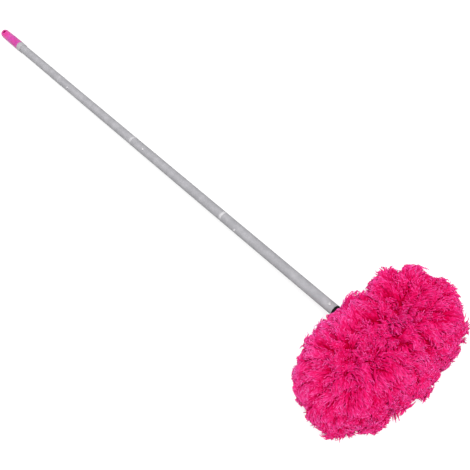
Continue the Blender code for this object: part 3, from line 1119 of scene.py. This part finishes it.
# How the pile is pressed in, and how ragged it stays: at its surface, its slot, the ferrule and the floor.
surface_least = 0.86
surface_tuft_rise = 0.10
surface_swirl_rise = 0.50
surface_own_rise = 0.05
press_share = 0.65
slot_raggedness = 0.0030
ferrule_bank = 1.25
ferrule_bow = 12.0
ferrule_crown = 40.0
ferrule_clear = 0.0035
ferrule_raggedness = 0.0060
floor_raggedness = 0.0040

# A strand's shade, from 0 deep to 1 pale: its own part and its tuft's part, paler on taller tufts as painted
# light. Its place adds painted shade in the crevices between tufts and in the slot's crease, and painted
# light on the cap's side.
shade_least = 0.13
shade_own = 0.36
tuft_tone_and_top_light = 0.12
painted_crevice_shade = 0.30
painted_cap_side_light = 0.36
painted_crease_shade = 0.22
cap_side_light_fade = (0.020, -0.090)
crease_shade_fade = (0.020, 0.085)
shade_levels = 32
column_margin = 0.1
row_margin = 0.04
row_reach = 0.94
uv_map = "OFBake"
# Both ramps run from painted shade, crimson at the roots deep in the pile, to painted light, paler at the tips.
deep_stops = [
    (0.00, (0.50, 0.000, 0.028)),
    (0.40, (0.70, 0.001, 0.080)),
    (0.75, (0.87, 0.016, 0.215)),
    (1.00, (0.96, 0.090, 0.430)),
]
pale_stops = [
    (0.00, (0.56, 0.001, 0.050)),
    (0.40, (0.78, 0.012, 0.180)),
    (0.75, (0.92, 0.085, 0.400)),
    (1.00, (0.97, 0.270, 0.720)),
]

head = on_pole(head_centre)
floor_slope = math.tan(math.asin(-pole_up.x))


def oval_place(share):
    """Point, outward normal and tangent of the oval wire, by the share of the way round from the pole."""
    bend = math.pi * loop_half_width
    straight = 2 * loop_half_straight
    way = (share % 1) * 2 * (straight + bend) + straight / 2
    lap, way = divmod(way, straight + bend)
    side = -1 if lap % 2 == 0 else 1
    if way <= straight:
        point = Vector((side * loop_half_width, -side * (way - straight / 2), 0))
        return point, Vector((side, 0, 0)), Vector((0, -side, 0))
    turn = (way - straight) / loop_half_width
    normal = Vector((side * math.cos(turn), -side * math.sin(turn), 0))
    centre = Vector((0, -side * loop_half_straight, 0))
    return centre + normal * loop_half_width, normal, Vector((normal.y, -normal.x, 0))


def outline_reach(point, normal, share):
    """How far the head's outline lies from a point of the oval, along its normal, its tufts among it."""
    low, high = 0, head_half_length
    for _ in range(outline_steps):
        middle = (low + high) / 2
        place = point + normal * middle
        across = abs(place.x) / head_half_width
        along = abs(place.y) / head_half_length
        if across**outline_power + along**outline_power < 1:
            low = middle
        else:
            high = middle
    side_trim = far_side_trim if normal.x > 0 else pole_side_trim
    end_trim = right_end_trim if normal.y > 0 else 0
    reach = low * (1 - side_trim * normal.x**2 - end_trim * abs(normal.y))
    for tuft_share, width, rise in outline_tufts:
        reach += rise * math.exp(-(((share - tuft_share) / width) ** 2))
    return reach


def head_height(point):
    to_tip = min(1, max(0, (abs(point.y) - loop_half_straight) / loop_half_width))
    return head_half_height * (1 - (1 - tip_height_share) * to_tip**2)


def floor_height(x):
    """Height of the floor in the head's own axes, which lean with the pole."""
    return -rest_depth - x * floor_slope


def bed_loop(bm, layers, share, shift, depth):
    """A loop of points round the wire: a share of the way out to the head's surface, or the sleeve's bore."""
    point, normal, tangent = oval_place(share)
    reach = outline_reach(point, normal, share)
    height = head_height(point)
    loop = []
    for k in range(bed_points):
        turn = math.tau * k / bed_points
        across = math.copysign(abs(math.cos(turn)) ** section_power, math.cos(turn))
        up = math.copysign(abs(math.sin(turn)) ** section_power, math.sin(turn))
        side = reach if across > 0 else crease_reach
        if depth is None:
            place = point + normal * bed_bore * math.cos(turn) + Vector((0, 0, bed_bore * math.sin(turn)))
        else:
            out = max(side * across * depth, slot_gap - loop_half_width)
            place = point + normal * out + Vector((0, 0, height * up * depth))
            place.z = max(place.z, floor_height(place.x) + bed_floor_lift)
            if math.hypot(place.y, place.z) < ferrule_dimple_radius:
                place.x = max(place.x, ferrule_dimple_end) if place.x < 0 else place.x
        vertex = bm.verts.new(place + tangent * shift)
        vertex[layers["reach"]] = reach
        vertex[layers["height"]] = height
        loop.append(vertex)
    return loop


def bed(index):
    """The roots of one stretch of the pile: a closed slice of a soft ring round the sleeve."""
    bm = bmesh.new()
    layers = {name: bm.verts.layers.float.new(name) for name in ("reach", "height")}
    outer_face = bm.faces.layers.bool.new("outside")
    uv = bm.loops.layers.uv.new(uv_map)
    outer = []
    inner = []
    for i in range(bed_rings + 1):
        share = (index + i / bed_rings) / sector_count
        shift = bed_gap / 2 if i == 0 else -bed_gap / 2 if i == bed_rings else 0
        outer.append(bed_loop(bm, layers, share, shift, bed_depth_share))
        inner.append(bed_loop(bm, layers, share, shift, None))
    skin(bm, outer)
    for face in bm.faces:
        face[outer_face] = True
    skin(bm, inner)
    skin(bm, [outer[0], inner[0]])
    skin(bm, [outer[-1], inner[-1]])
    bmesh.ops.recalc_face_normals(bm, faces=bm.faces)
    # Its faces take the darkest root colour of the yarn's map: painted shade deep in the pile.
    for face in bm.faces:
        for loop, (u, v) in zip(face.loops, ((0, 0), (1, 0), (1, 1), (0, 1))):
            loop[uv].uv = (u / shade_levels, v / shade_levels)
    mesh = bpy.data.meshes.new("yarn_bed")
    bm.to_mesh(mesh)
    bm.free()
    return mesh


def yarn_colour(graph, place):
    """Crimson at a strand's root and bright pink at its tip, as painted shade and painted light, beaded
    in painted light and shade along its crimps; each strand has its own shade.
    """
    u, v, _ = place.parts()
    shade = graph.maths("FLOOR", u * shade_levels) / (shade_levels - 1)
    wave = graph.maths("SINE", (v * strand_crimps + shade * crimp_shift) * math.tau)
    # Painted light and shade in beads along the strand, deeper towards the root.
    lit = v - (wave * 0.5 + 0.5) * crimp_shade_depth
    deep = graph.add("ShaderNodeValToRGB", {"stops": deep_stops}, {0: lit})["Color"]
    pale = graph.add("ShaderNodeValToRGB", {"stops": pale_stops}, {0: lit})["Color"]
    return graph.blend(graph.ramp(shade, 0.2, 1.0), deep, pale)


def yarn_twist(graph, place):
    """The height of a strand's plies, which turn round it."""
    u, v, _ = place.parts()
    return graph.maths("SINE", (u * shade_levels + v * ply_turns) * math.tau)


pink_yarn = finish(
    "pink_yarn",
    yarn_colour,
    lambda graph, place: 0.9,
    yarn_twist,
    bump_strength=0.10,
    bump_distance=0.0003,
    uv=uv_map,
    specular_ior_level=0.0,
    diffuse_roughness=1.0,
)

yarn_inputs = {
    "Density": strands_per_area,
    "Strand Width": strand_width,
    "Strand Lift": strand_lift,
    "Strand Lay": strand_lay,
    "Strand Swirl": strand_swirl,
    "Strand Wander": strand_wander,
    "Tuft Spacing": tuft_spacing,
    "Curl Reach": curl_reach,
    "Loop Radius": loop_half_width,
    "Loop Straight": loop_half_straight,
    "Crease Reach": crease_reach,
    "Floor Depth": rest_depth,
    "Floor Slope": floor_slope,
    "Ferrule Room": ferrule_collar_diameter / 2 + strand_width / 2,
    "Ferrule End": ferrule_length - head_centre,
    "Collar End": ferrule_collar_length - head_centre,
    "Seed": 0,
    "Yarn": pink_yarn,
}


def held(graph, geometry, fields):
    """Keeps fields as they are on a geometry now, so that they can be read after it changes."""
    node = graph.add("GeometryNodeCaptureAttribute", {"domain": "POINT"})
    for name, field in fields.items():
        node.node.capture_items.new("VECTOR" if is_wide(field) else "FLOAT", name)
    graph.tree.links.new(geometry.socket, node.node.inputs["Geometry"])
    for name, field in fields.items():
        graph.tree.links.new(field.socket, node.node.inputs[name])
    return node


def random_vector(graph, seed):
    settings = {"data_type": "FLOAT_VECTOR"}
    inputs = {"Min": (-1.0, -1.0, -1.0), "Max": (1.0, 1.0, 1.0), "Seed": seed}
    return graph.add("FunctionNodeRandomValue", settings, inputs)[0]


def random_share(graph, seed):
    return graph.add("FunctionNodeRandomValue", {"data_type": "FLOAT"}, {"Seed": seed})[0]


def away_from_slot(graph, inlet, place):
    """The nearest place on the slot's middle line, the direction and distance from it, and the height."""
    x, y, z = place.parts()
    limit = inlet["Loop Straight"]
    near = graph.most(graph.least(y, limit), -limit)
    flat = graph.vector(x, y - near)
    return near, flat.unit(), flat.length(), z


def from_tuft(inlet, kept):
    """How far a strand's root lies from its tuft's middle, in tuft spacings."""
    return (kept["Place"] - kept["Tuft Place"]).length() / inlet["Tuft Spacing"]


def strand_place(graph, inlet, kept, share):
    """Where a strand's point lies, by its share of the way from the strand's root to its tip."""
    normal = (kept["Normal"] * (1 - tuft_pull) + kept["Tuft Normal"] * tuft_pull).unit()
    tuft_x, _, tuft_z = kept["Tuft Random"].parts()
    _, outward, distance, _ = away_from_slot(graph, inlet, kept["Place"])
    lean = graph.ramp(distance - inlet["Loop Radius"], *slot_lean)
    lay = outward.flat_on(normal) * (inlet["Strand Lay"] * lean)
    swirl = kept["Swirl"].flat_on(normal) * inlet["Strand Swirl"]
    wander = (kept["Tuft Random"] + kept["Random"] * wander_own).flat_on(normal) * inlet["Strand Wander"]
    length = strand_least_length + kept["Share"] * strand_length_spread
    tall = tuft_least_height + tuft_z * tuft_height_spread - from_tuft(inlet, kept) * tuft_edge_drop
    rise = 1.0 - (1.0 - share) * (1.0 - share)
    run = share**lie_power
    inwards = (kept["Place"] - kept["Tuft Place"]).flat_on(kept["Tuft Normal"])
    phase = tuft_x * curl_phase_tuft + kept["Share"] * curl_phase_own + share * (curl_turns * math.tau)
    aside = (kept["Tuft Random"] + kept["Random"] * curl_side_own).flat_on(normal).unit()
    curl = aside * graph.maths("SINE", phase) + normal * graph.maths("COSINE", phase)
    lifted = normal * (inlet["Strand Lift"] * rise * length * tall - root_sink)
    travel = (lay + swirl + wander) * (run * length) - inwards * (share * tuft_gather)
    return kept["Place"] + lifted + travel + curl * (inlet["Curl Reach"] * share**0.5)


def within_head(graph, inlet, kept, place):
    """Presses a strand's point back under the head's surface, onto the floor and clear of the ferrule."""
    near, outward, distance, z = away_from_slot(graph, inlet, place)
    across = distance - inlet["Loop Radius"]
    outer = graph.ramp(across, -0.0001, 0.0001)
    reach = kept["Reach"] * outer + inlet["Crease Reach"] * (1.0 - outer)
    power = 2 / section_power
    wide = abs(across / reach) ** power
    tall = abs(z / kept["Height"]) ** power
    depth = graph.most((wide + tall) ** (1 / power), 0.01)
    tuft_x, tuft_y, _ = kept["Tuft Random"].parts()
    limit = surface_least + tuft_x * surface_tuft_rise + kept["Share"] * surface_own_rise
    limit = limit + kept["Swirl"].parts()[1] * surface_swirl_rise
    scale = graph.least(1.0, (limit * press_share + depth * (1 - press_share)) / depth)
    across = graph.most(across * scale, tuft_y * slot_raggedness - inlet["Loop Radius"])
    x, y, _ = (outward * (across + inlet["Loop Radius"])).parts()
    y = y + near
    start = inlet["Collar End"] + ferrule_clear
    x = graph.most(x, start - y * y * ferrule_bow)
    ceiling = inlet["Ferrule Room"] + (x - start) * ferrule_bank + y * y * ferrule_crown
    z = graph.least(z * scale, graph.most(ceiling - kept["Share"] * ferrule_raggedness, 0.0))
    floor = inlet["Strand Width"] / 2.0 - inlet["Floor Depth"] - x * inlet["Floor Slope"]
    z = graph.most(z, floor + kept["Share"] * floor_raggedness)
    from_axis = graph.most(y * y + z * z, 0.000001) ** 0.5
    ahead = graph.maths("LESS_THAN", x, inlet["Ferrule End"])
    push = graph.most(1.0, inlet["Ferrule Room"] / from_axis * ahead)
    return graph.vector(x, y * push, z * push)


def yarn_tree():
    """Strands grown from a bed: scattered roots, gathered in tufts, each swept into a thin closed tube."""
    tree = bpy.data.node_groups.new("yarn_strands", "GeometryNodeTree")
    tree.interface.new_socket("Bed", in_out="INPUT", socket_type="NodeSocketGeometry")
    tree.interface.new_socket("Pile", in_out="OUTPUT", socket_type="NodeSocketGeometry")
    kinds = {int: "NodeSocketInt", float: "NodeSocketFloat", bpy.types.Material: "NodeSocketMaterial"}
    for name, value in yarn_inputs.items():
        tree.interface.new_socket(name, in_out="INPUT", socket_type=kinds[type(value)])
    graph = Graph(tree)
    inlet = graph.add("NodeGroupInput")
    place = graph.add("GeometryNodeInputPosition")[0]

    def of_bed(name, kind):
        return graph.add("GeometryNodeInputNamedAttribute", {"data_type": kind}, {"Name": name})[0]

    def scattered(method, **inputs):
        sockets = {name.replace("_", " "): value for name, value in inputs.items()}
        sockets.update({"Mesh": inlet["Bed"], "Selection": of_bed("outside", "BOOLEAN")})
        return graph.add("GeometryNodeDistributePointsOnFaces", {"distribute_method": method}, sockets)

    tufts = scattered(
        "POISSON",
        Distance_Min=inlet["Tuft Spacing"],
        Density_Max=tufts_per_area,
        Seed=inlet["Seed"] + tuft_seed_step,
    )
    tuft_fields = {"Place": place, "Normal": tufts["Normal"], "Random": random_vector(graph, 5)}
    tuft = held(graph, tufts["Points"], tuft_fields)

    roots = scattered("RANDOM", Density=inlet["Density"], Seed=inlet["Seed"])
    nearest_inputs = {"Geometry": tuft["Geometry"], "Sample Position": place}
    nearest = graph.add("GeometryNodeSampleNearest", {"domain": "POINT"}, nearest_inputs)[0]

    def of_tuft(name):
        settings = {"data_type": "FLOAT_VECTOR", "domain": "POINT"}
        inputs = {"Geometry": tuft["Geometry"], "Value": tuft[name], "Index": nearest}
        return graph.add("GeometryNodeSampleIndex", settings, inputs)[0]

    swirl_inputs = {"Vector": place, "Scale": swirl_scale, "Detail": 1.0}
    swirl = graph.add("ShaderNodeTexNoise", inputs=swirl_inputs)["Color"]
    root_fields = {
        "Place": place,
        "Normal": roots["Normal"],
        "Tuft Place": of_tuft("Place"),
        "Tuft Normal": of_tuft("Normal"),
        "Tuft Random": of_tuft("Random"),
        "Random": random_vector(graph, 11),
        "Swirl": swirl - (0.5, 0.5, 0.5),
        "Share": random_share(graph, 12),
        "Shade": random_share(graph, 13),
        "Reach": of_bed("reach", "FLOAT"),
        "Height": of_bed("height", "FLOAT"),
    }
    kept = held(graph, roots["Points"], root_fields)

    line = graph.add("GeometryNodeCurvePrimitiveLine")[0]
    strand = graph.add("GeometryNodeResampleCurve", inputs={"Curve": line, "Count": strand_points})[0]
    strand_inputs = {"Points": kept["Geometry"], "Instance": strand}
    many = graph.add("GeometryNodeInstanceOnPoints", inputs=strand_inputs)[0]
    curves = graph.add("GeometryNodeRealizeInstances", inputs={"Geometry": many})[0]
    share = graph.add("GeometryNodeSplineParameter")["Factor"]
    grown = strand_place(graph, inlet, kept, share)
    pressed = within_head(graph, inlet, kept, grown)
    shaped = graph.add("GeometryNodeSetPosition", inputs={"Geometry": curves, "Position": pressed})[0]

    thickness = strand_least_width + kept["Share"] * strand_width_spread
    radius = inlet["Strand Width"] * 0.5 * (1.0 - share**4.0 * strand_taper) * thickness
    # Painted light on the cap's side, painted shade in the slot's crease and in the crevices between tufts.
    cap_side_light = graph.ramp(kept["Place"].parts()[0], *cap_side_light_fade)
    crease_shade_lift = graph.ramp(away_from_slot(graph, inlet, kept["Place"])[2], *crease_shade_fade)
    shade = shade_least + kept["Shade"] * shade_own + (kept["Tuft Random"].parts()[2] + 1.0) * tuft_tone_and_top_light
    shade = shade - from_tuft(inlet, kept) * painted_crevice_shade + cap_side_light * painted_cap_side_light + crease_shade_lift * painted_crease_shade
    shade = graph.least(graph.most(shade, 0.0), 1.0)
    level = graph.maths("FLOOR", shade * (shade_levels - 0.01))
    strands = held(graph, shaped, {"Along": share, "Level": level, "Radius": radius})
    ring_inputs = {"Resolution": strand_sides, "Radius": 1.0}
    ring = graph.add("GeometryNodeCurvePrimitiveCircle", inputs=ring_inputs)[0]
    rim = held(graph, ring, {"Around": graph.add("GeometryNodeSplineParameter")["Factor"]})
    tube_inputs = {"Curve": strands["Geometry"], "Profile Curve": rim["Geometry"]}
    tube_inputs.update({"Scale": strands["Radius"], "Fill Caps": True})
    tubes = graph.add("GeometryNodeCurveToMesh", inputs=tube_inputs)[0]

    column = (strands["Level"] + column_margin + rim["Around"] * (1 - 2 * column_margin)) / shade_levels
    place_on_map = graph.vector(column, strands["Along"] * row_reach + row_margin)
    mapped = graph.add(
        "GeometryNodeStoreNamedAttribute",
        {"data_type": "FLOAT2", "domain": "CORNER"},
        {"Geometry": tubes, "Name": uv_map, "Value": place_on_map},
    )[0]
    joined = graph.add("GeometryNodeJoinGeometry")
    for part in (mapped, inlet["Bed"]):
        tree.links.new(part.socket, joined.node.inputs[0])
    smooth = graph.add("GeometryNodeSetShadeSmooth", inputs={"Geometry": joined[0]})[0]
    real = graph.add("GeometryNodeRealizeInstances", inputs={"Geometry": smooth})[0]
    coloured = graph.add("GeometryNodeSetMaterial", inputs={"Geometry": real, "Material": inlet["Yarn"]})[0]
    graph.add("NodeGroupOutput", inputs={0: coloured})
    return tree


def grow(index, tree):
    """One stretch of the pile as a plain mesh in the model's axes."""
    seedbed = bpy.data.objects.new("yarn_seedbed", bed(index))
    bpy.context.scene.collection.objects.link(seedbed)
    modifier = seedbed.modifiers.new("strands", "NODES")
    modifier.node_group = tree
    values = {**yarn_inputs, "Seed": index}
    for item in tree.interface.items_tree:
        if item.in_out == "INPUT" and item.name in values:
            modifier[item.identifier] = values[item.name]
    mesh = finished_mesh(seedbed)
    bpy.data.objects.remove(seedbed)
    mesh.name = f"yarn_{index + 1:02d}"
    mesh.transform(head)
    for attribute in ("reach", "height", "outside"):
        mesh.attributes.remove(mesh.attributes[attribute])
    pile = bpy.data.objects.new(mesh.name, mesh)
    bpy.context.scene.collection.objects.link(pile)
    return pile


strand_tree = yarn_tree()
for index in range(sector_count):
    pile = grow(index, strand_tree)
    dress(pile, pink_yarn, f"yarn_pile_{index + 1:02d}")


# Floor, light and camera
#
# A plain pale floor under one broad soft lamp and an even white surround. The camera looks down over the
# pole, at the head, from the side that the photograph shows.

floor_size = 30.0
floor_colour = (0.40, 0.40, 0.40)
floor_glow = 0.72
horizon_level = 0.09
zenith_level = 0.46
lamp_level = 2.68
lamp_spread = math.radians(28.0)
lamp_turn = (math.radians(4.0), math.radians(23.0), 0)
camera_place = (1.199577, -0.277815, 1.366841)
camera_aim = (-0.563116, 0.162764, -0.810190)
camera_right = (0.625290, 0.724921, -0.288969)
camera_lens = 61.28
camera_sensor = 36.0


def camera_rays(graph):
    """1 for what the camera, a mirror or glass shows of a surface, and 0 for the light that it gives."""
    path = graph.add("ShaderNodeLightPath")
    return graph.most(path["Is Camera Ray"], graph.most(path["Is Glossy Ray"], path["Is Transmission Ray"]))


def floor_finish():
    material, graph = bare_material("pale_floor")
    matt = graph.add("ShaderNodeBsdfDiffuse", inputs={"Color": floor_colour})[0]
    glow_inputs = {"Color": (1.0, 1.0, 1.0), "Strength": camera_rays(graph) * floor_glow}
    glow = graph.add("ShaderNodeEmission", inputs=glow_inputs)[0]
    whole = graph.add("ShaderNodeAddShader", inputs={0: matt, 1: glow})[0]
    graph.add("ShaderNodeOutputMaterial", inputs={"Surface": whole})
    return material


bpy.ops.mesh.primitive_plane_add(size=floor_size)
floor = bpy.context.object
floor.name = "floor"
floor.data.materials.append(floor_finish())

world = bpy.data.worlds.new("surround")
bpy.context.scene.world = world
world.use_nodes = True
surround = Graph(world.node_tree)
seen = camera_rays(surround)
upward = surround.add("ShaderNodeNewGeometry")["Incoming"].parts()[2] * -1.0
soft = surround.ramp(upward, -0.1, 0.9, horizon_level, zenith_level)
sky_inputs = {"Color": (1.0, 1.0, 1.0), "Strength": seen + (1.0 - seen) * soft}
sky = surround.add("ShaderNodeBackground", inputs=sky_inputs)[0]
surround.add("ShaderNodeOutputWorld", inputs={"Surface": sky})

lamp = bpy.data.objects.new("lamp", bpy.data.lights.new("lamp", "SUN"))
lamp.data.energy = lamp_level
lamp.data.angle = lamp_spread
lamp.rotation_euler = lamp_turn
bpy.context.scene.collection.objects.link(lamp)

camera = bpy.data.objects.new("camera", bpy.data.cameras.new("camera"))
camera.data.lens = camera_lens
camera.data.sensor_width = camera_sensor
right = Vector(camera_right).normalized()
back = -Vector(camera_aim).normalized()
view_turn = Matrix((right, back.cross(right), back)).transposed().to_4x4()
camera.matrix_world = Matrix.Translation(camera_place) @ view_turn
bpy.context.scene.collection.objects.link(camera)
bpy.context.scene.camera = camera

bpy.context.scene.view_settings.view_transform = "Standard"
